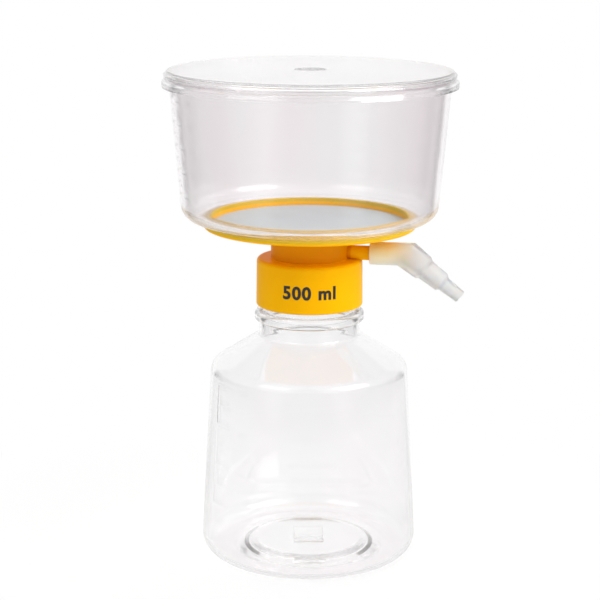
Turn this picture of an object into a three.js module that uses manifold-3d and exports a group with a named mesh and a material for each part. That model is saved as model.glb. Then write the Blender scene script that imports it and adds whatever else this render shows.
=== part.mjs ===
// Vacuum filtration unit, 500 ml: a clear lidded funnel welded to a filter base,
// screwed onto a clear receiver bottle, with a stepped hose adapter on the side port.
// Millimetres, +Z up. The origin is the centre of the ring that the bottle stands on.

import * as THREE from 'three';
import { mergeVertices } from 'three/addons/utils/BufferGeometryUtils.js';
import Module from 'manifold-3d';

const wasm = await Module();
wasm.setup();

// ---- driving dimensions -------------------------------------------------

const turnSegments = 48; // facets round a full turn, a multiple of four
const arcTolerance = 0.08; // how far a facet may cut inside a rounded profile corner
const restGap = 0.3; // between two pieces that touch
const weld = 0.5; // how far a rib runs into the wall that carries it
const edgeRound = 0.5; // small moulded edges

// receiver bottle
const baseRadius = 47; // widest, just above the bottom corner
const baseCornerRadius = 7.5;
const bodyTaper = 4.4; // the body is this much slimmer at the shoulder
const shoulderHeight = 84.5;
const shoulderFillet = 6;
const shoulderRise = 13.3; // height of the shoulder cone
const bottleWall = 1.7;
const ringWidth = 19; // from the widest point in to the foot of the raised base panel
const panelRise = 2.5;
const panelDome = 0.8;
const panelDraft = 1.4; // the panel's side leans in as it rises
const panelBorder = 2; // flat border round the panel's dome
const panelWall = 1.5;
const panelSlopeFoot = 6; // the inside rises over a broad slope, from this far outside the panel's foot
const panelSlopeTop = 4; // to this far inside the panel's side
const panelSlopeFillet = 4;
const panelLugWidth = 13.5; // two anti-rotation lugs on the panel's edge
const panelLugDepth = 3;
const panelLugFoot = 0.6; // above the standing ring
const lugAzimuth = -100; // first lug, degrees from +X

// bottle neck
const finishRadius = 19.9; // thread root
const finishWall = 2;
const finishHeight = 20.3; // centre of the bead to the rim
const neckStep = 1.9; // the neck below the bead stands this far outside the thread root
const beadStep = 3.7; // and the bead this far
const beadRise = 8.4; // top of the shoulder cone to the bead's centre
const beadHalfHeight = 2.2;
const neckFillet = 1.4;
const boreTaper = 1.5; // how much the bore opens
const boreTaperTop = 4.5; // from this far below the rim
const boreTaperFoot = 3.7; // to this far above the shoulder cone

// filter base
const gasketThickness = 1.5;
const roofThickness = 2.5;
const threadRoom = 1.35; // thread root to the collar's bore
const collarWall = 1.45;
const collarDraft = 0.25;
const collarLift = 2.4; // collar's foot above the bead
const collarShoulderRadius = 1.6;
const columnInset = 6.05; // column's side inside the collar's
const columnWall = 1.65;
const columnHeight = 13.7; // visible between the collar and the deck
const columnFillet = 1.2;
const membraneRadius = 41.6;
const membraneThickness = 0.25;
const rimWall = 1.7; // raised rim round the membrane
const rimHeight = 4.4; // above the deck's underside
const deckLedge = 1.8; // deck's edge outside the rim
const deckEdgeThickness = 0.6; // at the foot of the rim
const deckDish = 0.7; // fall of the deck's top from its rim to the drain
const deckDrop = 1.7; // fall of its underside from its edge to the column
const flangeHeight = 2.2; // outer edge of the deck
const drainRibHeight = 0.4; // at the foot of the rim
const drainRibWidth = 1.2;
const drainRibCount = 12; // long ribs, with a short one between each pair
const drainRibStart = 9; // from the main axis
const shortRibStart = 22;
const drainRibEnd = 1; // gap to the rim
const spoutBore = 2.6;
const spoutMouth = 1.2; // chamfer where the drain opens in the deck
const spoutWall = 1.5;
const spoutReach = 5.5; // tip of the spout below the bottle's rim
const spoutTipAngle = 30;

// side port
const portAzimuth = -20; // degrees from +X
const portLift = 2.6; // port's axis above the collar's top
const portRadius = 3.1;
const portWall = 1.2;
const portEngagement = 8.9; // length of the port inside the adapter's sleeve
const plugLength = 8;
const plugSetback = 1;

// hose adapter
const sleeveOffset = 3.4; // sleeve's end outside the collar
const sleeveWall = 1.5;
const sleeveEdge = 0.6;
const sleeveLength = 15.6; // to the elbow
const socketDepth = 10.5;
const socketTaper = 0.8;
const armDrop = 37.3; // degrees below level
const armSegments = 32;
const armBore = 1.9;
const elbowBore = 2.5;
const firstStepLength = 9.05;
const firstStepRadius = 5.6;
const hoseSteps = [ // past the first: the shoulder before it, its length, and its radius at each end
  { shoulder: 1.35, length: 8.5, startRadius: 4.65, endRadius: 4.25 },
  { shoulder: 1.5, length: 8.8, startRadius: 3.15, endRadius: 2.75 },
];

// funnel
const funnelOverhang = 9.2; // foot of the side, outside the deck
const funnelTaper = 5.15; // the rim is this much wider than the foot
const funnelHeight = 62.3; // foot to rim
const funnelCornerRadius = 13;
const funnelToeAngle = 16; // the corner's arc ends this far short of level
const funnelInnerCornerRadius = 8;
const funnelWall = 1.7;
const funnelFloorThickness = 1.4;

// lid
const lidThickness = 1.5;
const lidHeight = 6.9;
const lidWall = 1;
const lidClearance = 0.55; // skirt's inside to the funnel's rim
const lidFaceInset = 1.4; // flat face, inside the waist
const lidShoulderStep = 0.3; // shoulder, outside the waist
const lidShoulderDrop = 1.6;
const lidLipStep = 1.1; // lip, outside the waist
const lidLipHeight = 2.3;
const lidLipRise = 0.8; // slope above the lip
const lidRibCount = 6; // centring ribs inside the skirt
const lidRibWidth = 1.2;
const lidRibAzimuth = -88.5; // first rib, degrees from +X
const dimpleRadius = 6.3;
const dimpleDepth = 0.8;
const dimpleDraft = 0.4;

// ---- sizes that follow --------------------------------------------------

const shoulderRadius = baseRadius - bodyTaper;
const panelFoot = baseRadius - ringWidth;
const panelRadius = panelFoot - panelDraft;
const neckRadius = finishRadius + neckStep;
const beadRadius = finishRadius + beadStep;
const boreRadius = finishRadius - finishWall;
const neckFootHeight = shoulderHeight + shoulderRise;
const beadHeight = neckFootHeight + beadRise;
const beadTop = beadHeight + beadHalfHeight;
const neckRimHeight = beadHeight + finishHeight;

const collarBore = finishRadius + threadRoom;
const collarTopRadius = collarBore + collarWall;
const collarFootHeight = beadTop + collarLift;
const roofUnderside = neckRimHeight + gasketThickness + 2 * restGap;
const collarTop = roofUnderside + roofThickness;
const columnRadius = collarTopRadius - columnInset;
const columnBore = columnRadius - columnWall;
const deckUnderside = collarTop + columnHeight;
const columnCeiling = deckUnderside - deckDrop;
const deckEdgeTop = deckUnderside + deckEdgeThickness;
const drainTop = deckEdgeTop - deckDish;
const ribTop = deckEdgeTop + drainRibHeight;
const membraneUnderside = ribTop + restGap;
const recessRadius = membraneRadius + restGap;
const rimRadius = recessRadius + rimWall;
const deckRadius = rimRadius + deckLedge;
const flangeTop = deckUnderside + flangeHeight;
const rimTop = deckUnderside + rimHeight;
const spoutOuter = spoutBore + spoutWall;
const spoutTipHeight = neckRimHeight - spoutReach;

const portHeight = collarTop + portLift;
const portBore = portRadius - portWall;
const sleeveStart = collarTopRadius + sleeveOffset;
const sleeveRadius = portRadius + restGap + sleeveWall;
const portEnd = sleeveStart + portEngagement;
const elbowReach = sleeveStart + sleeveLength;

const funnelFootRadius = deckRadius + funnelOverhang;
const funnelRimRadius = funnelFootRadius + funnelTaper;
const funnelFoot = flangeTop + restGap;
const funnelRim = funnelFoot + funnelHeight;
const funnelFloorUnderside = rimTop + restGap;

const lidSkirtInner = funnelRimRadius + lidClearance;
const lidWaistRadius = lidSkirtInner + lidWall;
const lidUnderside = funnelRim + restGap;
const lidTop = lidUnderside + lidThickness;

// ---- geometry helpers ---------------------------------------------------

const radians = THREE.MathUtils.degToRad;

// Corners are [radius, height] or [radius, height, fillet]: a closed outline with rounded corners.
// Two fillets that would take more of the side between them than it has are both made smaller.
function roundedOutline(corners) {
  const turns = corners.map(([r, z, fillet = 0], i) => {
    const here = new THREE.Vector2(r, z);
    const before = new THREE.Vector2(...corners[(i + corners.length - 1) % corners.length]).sub(here);
    const after = new THREE.Vector2(...corners[(i + 1) % corners.length]).sub(here);
    const back = before.clone().normalize();
    const on = after.clone().normalize();
    const halfAngle = Math.acos(THREE.MathUtils.clamp(back.dot(on), -1, 1)) / 2;
    const reach = fillet / Math.tan(halfAngle);
    return { here, back, on, halfAngle, fillet, reach, side: after.length() };
  });
  const points = [];
  turns.forEach(({ here, back, on, halfAngle, fillet, reach, side }, i) => {
    if (fillet === 0) {
      points.push(here);
      return;
    }
    const previous = turns[(i + turns.length - 1) % turns.length];
    const next = turns[(i + 1) % turns.length];
    const fit = Math.min(1, previous.side / (previous.reach + reach), side / (reach + next.reach));
    const radius = fillet * fit;
    const middle = back.clone().add(on).normalize();
    const centre = here.clone().addScaledVector(middle, radius / Math.sin(halfAngle));
    const start = here.clone().addScaledVector(back, reach * fit).sub(centre).angle();
    const end = here.clone().addScaledVector(on, reach * fit).sub(centre).angle();
    let sweep = end - start;
    if (sweep > Math.PI) sweep -= 2 * Math.PI;
    if (sweep < -Math.PI) sweep += 2 * Math.PI;
    const facet = 2 * Math.acos(1 - Math.min(arcTolerance / radius, 0.3));
    const steps = Math.max(1, Math.round(Math.abs(sweep) / facet));
    for (let k = 0; k <= steps; k += 1) {
      const angle = start + (sweep * k) / steps;
      points.push(new THREE.Vector2(Math.cos(angle), Math.sin(angle)).multiplyScalar(radius).add(centre));
    }
  });
  return points;
}

// A closed triangle mesh becomes a solid that can be joined and cut.
function solid(geometry) {
  const bare = geometry.clone();
  bare.deleteAttribute('normal');
  bare.deleteAttribute('uv');
  const merged = mergeVertices(bare, 1e-4);
  const index = merged.getIndex().array;
  const triangles = [];
  for (let i = 0; i < index.length; i += 3) {
    const [a, b, c] = [index[i], index[i + 1], index[i + 2]];
    if (a !== b && b !== c && c !== a) triangles.push(a, b, c);
  }
  return new wasm.Manifold(new wasm.Mesh({
    numProp: 3,
    vertProperties: new Float32Array(merged.getAttribute('position').array),
    triVerts: new Uint32Array(triangles),
  }));
}

function geometryOf(body) {
  const mesh = body.getMesh();
  const geometry = new THREE.BufferGeometry();
  geometry.setAttribute('position', new THREE.BufferAttribute(mesh.vertProperties, 3));
  geometry.setIndex(new THREE.BufferAttribute(mesh.triVerts, 1));
  geometry.computeVertexNormals();
  return geometry;
}

// A closed outline in the radius-height plane, turned round +Z.
function revolve(corners, segments = turnSegments) {
  const points = roundedOutline(corners);
  if (THREE.ShapeUtils.area(points) < 0) points.reverse();
  points.push(points[0].clone());
  const geometry = new THREE.LatheGeometry(points, segments);
  geometry.rotateX(Math.PI / 2);
  return solid(geometry);
}

// Rings of points, each the same count, skinned into one closed body.
function loft(rings) {
  const count = rings[0].length;
  const positions = rings.flat().flatMap((p) => [p.x, p.y, p.z]);
  const index = [];
  for (let k = 0; k + 1 < rings.length; k += 1) {
    for (let i = 0; i < count; i += 1) {
      const [a, b] = [k * count + i, k * count + (i + 1) % count];
      index.push(a, b, b + count, a, b + count, a + count);
    }
  }
  const last = (rings.length - 1) * count;
  for (let i = 1; i + 1 < count; i += 1) {
    index.push(0, i + 1, i);
    index.push(last, last + i, last + i + 1);
  }
  const geometry = new THREE.BufferGeometry();
  geometry.setAttribute('position', new THREE.Float32BufferAttribute(positions, 3));
  geometry.setIndex(index);
  return solid(geometry);
}

// A bar that points away from the main axis, from one radius to another.
function radialBar(azimuth, fromRadius, toRadius, width, fromHeight, toHeight) {
  const geometry = new THREE.BoxGeometry(toRadius - fromRadius, width, toHeight - fromHeight);
  geometry.translate((fromRadius + toRadius) / 2, 0, (fromHeight + toHeight) / 2);
  geometry.rotateZ(radians(azimuth));
  return solid(geometry);
}

// A tube's worth of material along the port's axis.
function portCylinder(radius, fromReach, toReach) {
  const geometry = new THREE.CylinderGeometry(radius, radius, toReach - fromReach, armSegments);
  geometry.rotateZ(-Math.PI / 2);
  geometry.translate((fromReach + toReach) / 2, 0, portHeight);
  geometry.rotateZ(radians(portAzimuth));
  return solid(geometry);
}

function piece(name, body, color, roughness, extra = {}) {
  const material = new THREE.MeshStandardMaterial({ color, roughness, metalness: 0, ...extra });
  const mesh = new THREE.Mesh(geometryOf(body), material);
  mesh.name = name;
  return mesh;
}

const clear = { transparent: true, opacity: 0.3 };

// ---- pieces -------------------------------------------------------------

// Heights on the bottle's side, from its widest point up to the shoulder.
function bottleSide(height) {
  return baseRadius - (bodyTaper * (height - baseCornerRadius)) / (shoulderHeight - baseCornerRadius);
}

function receiverBottle() {
  const panelTop = panelRise + panelWall;
  const drop = bottleWall * 0.56; // puts the cone's inner corners where the wall stays even
  const ribbon = [
    [0, panelRise + panelDome],
    [panelRadius - panelBorder, panelRise, 1],
    [panelRadius, panelRise],
    [panelFoot, 0],
    [bottleSide(0), 0, baseCornerRadius],
    [shoulderRadius, shoulderHeight, shoulderFillet],
    [neckRadius, neckFootHeight, neckFillet],
    [neckRadius, beadHeight - beadHalfHeight],
    [beadRadius, beadHeight - beadHalfHeight, beadHalfHeight],
    [beadRadius, beadTop, beadHalfHeight],
    [finishRadius, beadTop],
    [finishRadius, neckRimHeight, edgeRound],
    [boreRadius, neckRimHeight, edgeRound],
    [boreRadius, neckRimHeight - boreTaperTop],
    [boreRadius + boreTaper, neckFootHeight + boreTaperFoot],
    [neckRadius - bottleWall, neckFootHeight - drop, neckFillet + bottleWall],
    [shoulderRadius - bottleWall, shoulderHeight - drop, shoulderFillet - bottleWall],
    [bottleSide(bottleWall) - bottleWall, bottleWall, baseCornerRadius - bottleWall],
    [panelFoot + panelSlopeFoot, bottleWall, panelSlopeFillet],
    [panelRadius - panelSlopeTop, panelTop, panelSlopeFillet],
    [0, panelTop + panelDome],
  ];
  let body = revolve(ribbon);
  const lugFrom = panelFoot - panelLugDepth;
  const lugTop = panelRise + panelWall / 5;
  for (const azimuth of [lugAzimuth, lugAzimuth + 180]) {
    body = body.add(radialBar(azimuth, lugFrom, panelFoot, panelLugWidth, panelLugFoot, lugTop));
  }
  return body;
}

function funnelBowl() {
  const skirtInner = rimRadius + restGap;
  const toeRadius = deckRadius + restGap;
  const floorTop = funnelFloorUnderside + funnelFloorThickness;
  const corner = funnelFoot + (funnelFootRadius - toeRadius) * Math.tan(radians(funnelToeAngle));
  const slope = funnelTaper / (funnelRim - corner);
  const innerAt = (height) => funnelFootRadius + slope * (height - corner) - funnelWall;
  return revolve([
    [skirtInner, funnelFoot],
    [toeRadius, funnelFoot],
    [funnelFootRadius, corner, funnelCornerRadius],
    [funnelRimRadius, funnelRim, edgeRound],
    [innerAt(funnelRim), funnelRim, edgeRound],
    [innerAt(floorTop), floorTop, funnelInnerCornerRadius],
    [recessRadius, floorTop, edgeRound],
    [recessRadius, funnelFloorUnderside],
    [skirtInner, funnelFloorUnderside],
  ]);
}

function lid() {
  const skirtFoot = lidTop - lidHeight;
  const lipTop = skirtFoot + lidLipHeight;
  const lipRadius = lidWaistRadius + lidLipStep;
  let body = revolve([
    [0, lidTop - dimpleDepth],
    [dimpleRadius, lidTop - dimpleDepth],
    [dimpleRadius + dimpleDraft, lidTop],
    [lidWaistRadius - lidFaceInset, lidTop, edgeRound],
    [lidWaistRadius + lidShoulderStep, lidTop - lidShoulderDrop, edgeRound],
    [lidWaistRadius, lipTop + lidLipRise],
    [lipRadius, lipTop, edgeRound],
    [lipRadius, skirtFoot],
    [lipRadius - lidWall, skirtFoot],
    [lidSkirtInner, lipTop],
    [lidSkirtInner, lidUnderside],
    [dimpleRadius + lidWall, lidUnderside],
    [dimpleRadius, lidUnderside - dimpleDepth],
    [0, lidUnderside - dimpleDepth],
  ]);
  const ribInner = funnelRimRadius + restGap;
  for (let i = 0; i < lidRibCount; i += 1) {
    const azimuth = lidRibAzimuth + (360 * i) / lidRibCount;
    const rib = radialBar(azimuth, ribInner, lidSkirtInner + weld, lidRibWidth, lipTop, lidUnderside + weld);
    body = body.add(rib);
  }
  return body;
}

function membrane() {
  return revolve([
    [0, membraneUnderside],
    [membraneRadius, membraneUnderside],
    [membraneRadius, membraneUnderside + membraneThickness],
    [0, membraneUnderside + membraneThickness],
  ]);
}

// The turned part of the base: drain spout, dished deck with its rim, column and screw collar.
function baseTurning() {
  return revolve([
    [spoutBore, spoutTipHeight],
    [spoutBore, drainTop - spoutMouth / 2],
    [spoutBore + spoutMouth, drainTop],
    [recessRadius, deckEdgeTop],
    [recessRadius, rimTop],
    [rimRadius, rimTop, edgeRound],
    [rimRadius, flangeTop],
    [deckRadius, flangeTop, edgeRound],
    [deckRadius, deckUnderside, edgeRound],
    [columnRadius, columnCeiling, columnFillet],
    [columnRadius, collarTop],
    [collarTopRadius, collarTop, collarShoulderRadius],
    [collarTopRadius + collarDraft, collarFootHeight, edgeRound],
    [collarBore + collarDraft, collarFootHeight],
    [collarBore, roofUnderside, edgeRound],
    [columnBore, roofUnderside],
    [columnBore, columnCeiling, columnFillet],
    [spoutOuter, columnCeiling, columnFillet],
    [spoutOuter - spoutWall / 5, spoutTipHeight],
  ]);
}

function drainRib(azimuth, start) {
  return radialBar(azimuth, start, recessRadius - drainRibEnd, drainRibWidth, drainTop, ribTop);
}

// Takes the end of the spout off at a slant, so that drops fall from one point.
function spoutTipCut() {
  const slant = new THREE.BoxGeometry(6 * spoutOuter, 6 * spoutOuter, 4 * spoutOuter);
  slant.translate(0, 0, -2 * spoutOuter);
  slant.rotateY(radians(spoutTipAngle));
  slant.translate(0, 0, spoutTipHeight + Math.tan(radians(spoutTipAngle)) * spoutBore);
  const round = new THREE.CylinderGeometry(spoutOuter + weld, spoutOuter + weld, 6 * spoutOuter, armSegments);
  round.rotateX(Math.PI / 2);
  round.translate(0, 0, spoutTipHeight);
  return solid(slant).intersect(solid(round));
}

function filterBase() {
  let body = baseTurning();
  const pitch = 360 / drainRibCount;
  for (let i = 0; i < drainRibCount; i += 1) {
    body = body.add(drainRib(i * pitch, drainRibStart));
    body = body.add(drainRib((i + 0.5) * pitch, shortRibStart));
  }
  body = body.add(portCylinder(portRadius, columnRadius - weld, portEnd));
  body = body.subtract(portCylinder(portBore, columnBore - weld, portEnd + weld));
  return body.subtract(spoutTipCut());
}

function neckGasket() {
  const foot = neckRimHeight + restGap;
  const top = foot + gasketThickness;
  const outer = collarBore - restGap;
  return revolve([
    [boreRadius, foot],
    [outer, foot],
    [outer, top - gasketThickness / 4],
    [outer - gasketThickness / 4, top],
    [boreRadius, top],
  ]);
}

function portPlug() {
  const end = portEnd - plugSetback;
  return portCylinder(portBore - restGap, end - plugLength, end);
}

// One ring of the adapter's skin. Along the sleeve it stands square to the port's axis.
function sleeveRing(reach, radius) {
  const ring = [];
  for (let i = 0; i < armSegments; i += 1) {
    const angle = (2 * Math.PI * i) / armSegments;
    ring.push(new THREE.Vector3(reach, radius * Math.cos(angle), radius * Math.sin(angle)));
  }
  return ring;
}

// Along the arm it stands square to the arm, and is wide by width and tall by height.
function armRing(distance, width, height = width) {
  const drop = radians(armDrop);
  const centre = new THREE.Vector3(elbowReach + distance * Math.cos(drop), 0, -distance * Math.sin(drop));
  const up = new THREE.Vector3(Math.sin(drop), 0, Math.cos(drop));
  const side = new THREE.Vector3(0, 1, 0);
  const ring = [];
  for (let i = 0; i < armSegments; i += 1) {
    const angle = (2 * Math.PI * i) / armSegments;
    const point = centre.clone().addScaledVector(side, width * Math.cos(angle));
    ring.push(point.addScaledVector(up, height * Math.sin(angle)));
  }
  return ring;
}

// The elbow is cut square to the arm, so the round sleeve meets it as an ellipse.
function elbowRing(radius) {
  return armRing(0, radius, radius / Math.cos(radians(armDrop)));
}

function hoseAdapter() {
  const skin = [
    sleeveRing(sleeveStart, sleeveRadius - sleeveEdge),
    sleeveRing(sleeveStart + sleeveEdge, sleeveRadius),
    elbowRing(sleeveRadius),
    armRing(firstStepLength, firstStepRadius),
  ];
  let distance = firstStepLength;
  for (const { shoulder, length, startRadius, endRadius } of hoseSteps) {
    skin.push(armRing(distance + shoulder, startRadius), armRing(distance + shoulder + length, endRadius));
    distance += shoulder + length;
  }
  const socketRadius = portRadius + restGap;
  const passage = [
    sleeveRing(sleeveStart - weld, socketRadius),
    sleeveRing(sleeveStart + socketDepth, socketRadius),
    sleeveRing(sleeveStart + socketDepth + socketTaper, elbowBore),
    elbowRing(elbowBore),
    armRing(distance + weld, armBore),
  ];
  return loft(skin).subtract(loft(passage));
}

// ---- assembly -----------------------------------------------------------

const unit = new THREE.Group();
unit.name = 'vacuum_filtration_unit';

unit.add(piece('receiver_bottle', receiverBottle(), 0xe9ecec, 0.08, clear));
unit.add(piece('neck_gasket', neckGasket(), 0xf2f1ea, 0.6));

const head = new THREE.Group();
head.add(piece('filter_base', filterBase(), 0xf2ab08, 0.35));
head.add(piece('membrane', membrane(), 0xd0d3d3, 0.8));
head.add(piece('funnel_bowl', funnelBowl(), 0xebe6e8, 0.08, clear));
head.add(piece('port_plug', portPlug(), 0xf7f7f4, 0.9));
unit.add(head);

const adapterMount = new THREE.Group();
adapterMount.rotation.z = radians(portAzimuth);
adapterMount.position.z = portHeight;
adapterMount.add(piece('hose_adapter', hoseAdapter(), 0xe8e4de, 0.4));
unit.add(adapterMount);

unit.add(piece('lid', lid(), 0xeeeced, 0.1, clear));

export default unit;
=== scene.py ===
import math

import bmesh
import bpy
from mathutils import Matrix, Vector


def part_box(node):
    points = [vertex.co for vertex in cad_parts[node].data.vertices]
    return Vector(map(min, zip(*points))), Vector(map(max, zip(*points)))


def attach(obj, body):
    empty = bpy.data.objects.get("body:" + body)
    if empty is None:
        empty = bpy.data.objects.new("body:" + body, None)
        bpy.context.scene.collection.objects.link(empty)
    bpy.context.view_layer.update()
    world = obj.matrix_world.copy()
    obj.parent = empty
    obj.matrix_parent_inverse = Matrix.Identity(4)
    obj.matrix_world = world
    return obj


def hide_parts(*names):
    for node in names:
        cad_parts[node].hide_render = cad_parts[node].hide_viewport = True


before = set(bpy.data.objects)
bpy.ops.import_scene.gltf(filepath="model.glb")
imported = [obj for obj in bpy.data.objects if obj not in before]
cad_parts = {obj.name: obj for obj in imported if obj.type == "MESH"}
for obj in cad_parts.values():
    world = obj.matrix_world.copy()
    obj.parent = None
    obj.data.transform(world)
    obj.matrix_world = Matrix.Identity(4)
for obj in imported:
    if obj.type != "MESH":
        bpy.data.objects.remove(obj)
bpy.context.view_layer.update()  # metres, +Z up, the bottle's ring stands on z = 0
mm = 0.001  # lengths below are in millimetres and angles in degrees, but the studio is in metres
scene = bpy.context.scene
shaped = ("receiver_bottle", "filter_base", "funnel_bowl", "lid")
nodeBoxes = {node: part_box(node) for node in shaped}  # the outlines below meet their tops and feet


def topOf(node):  # in millimetres
    return nodeBoxes[node][1].z / mm


def footOf(node):
    return nodeBoxes[node][0].z / mm


def feed(tree, node, inputs):
    # a socket is linked, and a plain value is set on the input itself
    for key, value in inputs.items():
        if isinstance(value, bpy.types.NodeSocket):
            tree.links.new(value, node.inputs[key])
        else:
            node.inputs[key].default_value = value
    return node


def addNode(tree, kind, inputs={}, **settings):
    node = tree.nodes.new(kind)
    for key, value in settings.items():
        setattr(node, key, value)
    return feed(tree, node, inputs)


def maths(tree, operation, first, second=0.0):
    return addNode(tree, "ShaderNodeMath", {0: first, 1: second}, operation=operation).outputs[0]


def vectorMaths(tree, operation, first, second=(0, 0, 0)):
    node = addNode(tree, "ShaderNodeVectorMath", {0: first, 1: second}, operation=operation)
    return node.outputs["Value" if operation in ("DOT_PRODUCT", "LENGTH") else "Vector"]


def heightOf(tree, vector):
    return addNode(tree, "ShaderNodeSeparateXYZ", {0: vector}).outputs["Z"]


def newTree(name, inputs):
    # a modifier tree with named inputs; gives the tree and a dictionary of its input sockets
    tree = bpy.data.node_groups.new(name, "GeometryNodeTree")
    tree.interface.new_socket("Geometry", in_out="INPUT", socket_type="NodeSocketGeometry")
    for label, (kind, value) in inputs.items():
        socket = tree.interface.new_socket(label, in_out="INPUT", socket_type="NodeSocket" + kind)
        if value is not None:
            socket.default_value = value
    tree.interface.new_socket("Geometry", in_out="OUTPUT", socket_type="NodeSocketGeometry")
    start = tree.nodes.new("NodeGroupInput")
    return tree, {socket.name: socket for socket in start.outputs if socket.name}


def endTree(tree, geometry, material):
    realized = addNode(tree, "GeometryNodeRealizeInstances", {"Geometry": geometry})
    painted = addNode(tree, "GeometryNodeSetMaterial", {
        "Geometry": realized.outputs[0], "Material": material})
    addNode(tree, "NodeGroupOutput", {0: painted.outputs[0]})


def evaluatedMesh(piece):
    bpy.context.view_layer.update()
    evaluated = piece.evaluated_get(bpy.context.evaluated_depsgraph_get())
    return bpy.data.meshes.new_from_object(evaluated)


def runTree(piece, tree, values):
    # the tree's result becomes the piece's plain mesh
    modifier = piece.modifiers.new(tree.name, "NODES")
    modifier.node_group = tree
    for item in tree.interface.items_tree:
        if item.item_type == "SOCKET" and item.in_out == "INPUT" and item.name in values:
            modifier[item.identifier] = values[item.name]
    mesh = evaluatedMesh(piece)
    piece.modifiers.remove(modifier)
    piece.data = mesh
    return piece


def addObject(name, data):
    item = bpy.data.objects.new(name, data)
    scene.collection.objects.link(item)
    return item


def newPiece(name, points=(), edges=(), faces=()):
    mesh = bpy.data.meshes.new(name)
    mesh.from_pydata([Vector(p) for p in points], edges, faces)
    return addObject(name, mesh)


def closeUp(piece):
    # welds seams, caps open ends and turns the faces out
    mesh = bmesh.new()
    mesh.from_mesh(piece.data)
    bmesh.ops.remove_doubles(mesh, verts=mesh.verts, dist=turning["weld"] * mm)
    bmesh.ops.holes_fill(mesh, edges=[e for e in mesh.edges if e.is_boundary], sides=0)
    bmesh.ops.dissolve_degenerate(mesh, edges=mesh.edges, dist=turning["sliver"] * mm)
    bmesh.ops.recalc_face_normals(mesh, faces=mesh.faces)
    if mesh.calc_volume(signed=True) < 0:
        bmesh.ops.reverse_faces(mesh, faces=mesh.faces)
    mesh.to_mesh(piece.data)
    mesh.free()
    return piece


def combine(piece, other, operation="UNION"):
    modifier = piece.modifiers.new(operation, "BOOLEAN")
    modifier.operation = operation
    modifier.solver = "MANIFOLD"
    modifier.object = other
    mesh = evaluatedMesh(piece)
    piece.modifiers.remove(modifier)
    if len(mesh.polygons) == 0:
        raise RuntimeError(f"joining {other.name} to {piece.name} gave nothing")
    piece.data = mesh
    bpy.data.objects.remove(other)


def smooth(piece, material, angle=34):
    shape = bmesh.new()
    shape.from_mesh(piece.data)
    many = [face for face in shape.faces if len(face.verts) > 4]
    bmesh.ops.triangulate(shape, faces=many)  # left whole, those round the marks shade in streaks
    shape.to_mesh(piece.data)
    shape.free()
    piece.data.materials.clear()
    piece.data.materials.append(material)
    for face in piece.data.polygons:
        face.use_smooth = True
        face.material_index = 0
    piece.data.set_sharp_from_angle(angle=math.radians(angle))


def settle(piece, node, body):
    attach(piece, body)
    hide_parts(node)
    print(f"{piece.name}: {len(piece.data.polygons)} faces")


turning = {"segments": 192, "arcStep": 8.0, "support": 0.12, "weld": 0.002, "sliver": 0.001}


def outline(corners, closed=True):
    # corners are (radius, height, fillet); a point near each end of a straight stretch keeps
    # its shading flat
    count = len(corners)
    places = [Vector(corner[:2]) for corner in corners]
    arcs = []
    for i, corner in enumerate(corners):
        here = places[i]
        fillet = corner[2] if len(corner) > 2 else 0.0
        if fillet == 0 or not closed and i in (0, count - 1):
            arcs.append([here])
            continue
        before = places[i - 1] - here
        after = places[(i + 1) % count] - here
        back, on = before.normalized(), after.normalized()
        half = math.acos(max(-1.0, min(1.0, back.dot(on)))) / 2
        reach = min(fillet / math.tan(half), 0.49 * before.length, 0.49 * after.length)
        fillet = reach * math.tan(half)
        centre = here + (back + on).normalized() * (fillet / math.sin(half))
        start, end = here + back * reach - centre, here + on * reach - centre
        first = math.atan2(start.y, start.x)
        sweep = math.atan2(end.y, end.x) - first
        sweep = (sweep + math.pi) % (2 * math.pi) - math.pi
        steps = max(3, round(math.degrees(abs(sweep)) / turning["arcStep"]))
        angles = [first + sweep * k / steps for k in range(steps + 1)]
        arcs.append([centre + Vector((math.cos(a), math.sin(a))) * fillet for a in angles])
    points = []
    for i, arc in enumerate(arcs):
        points += arc
        if i == count - 1 and not closed:
            break
        end, start = arc[-1], arcs[(i + 1) % count][0]
        gap = (start - end).length
        if gap > 4 * turning["support"]:
            step = (start - end).normalized() * turning["support"]
            points += [end + step, start - step]
    if closed:
        points.append(points[0])
    return points


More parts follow.
